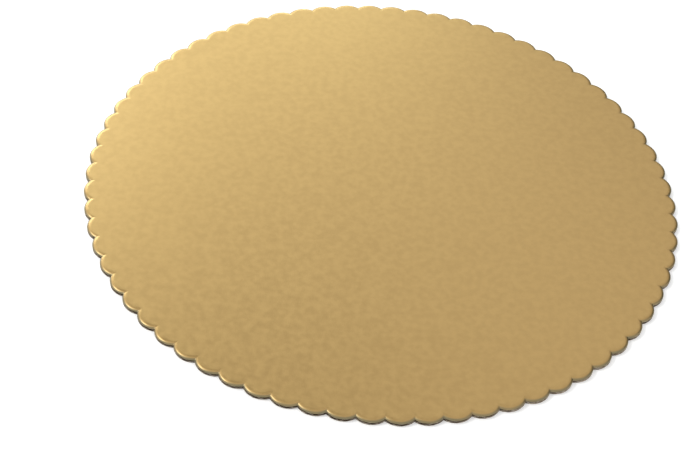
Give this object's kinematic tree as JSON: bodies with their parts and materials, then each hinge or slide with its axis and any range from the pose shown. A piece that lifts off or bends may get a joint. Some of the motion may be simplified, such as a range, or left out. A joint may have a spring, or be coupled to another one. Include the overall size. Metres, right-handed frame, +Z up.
{
  "type": "cake board",
  "caption": "Flat round paper board with a scalloped edge and a gold foil face, to carry a cake.",
  "frame": {"origin": "centre of the underside", "axes": "+Z up through the board, towards the foil face; +X points at a notch and +Y at the crown of a scallop"},
  "size_m": [0.2538, 0.254, 0.0024],
  "materials": {
    "gold_faced_card": "satin gold foil on the face and over the rim, bare grey-brown paper on the cut wall, grey-white paper on the underside"
  },
  "bodies": {
    "root": {"cake_board": "gold_faced_card"}
  },
  "joints": []
}
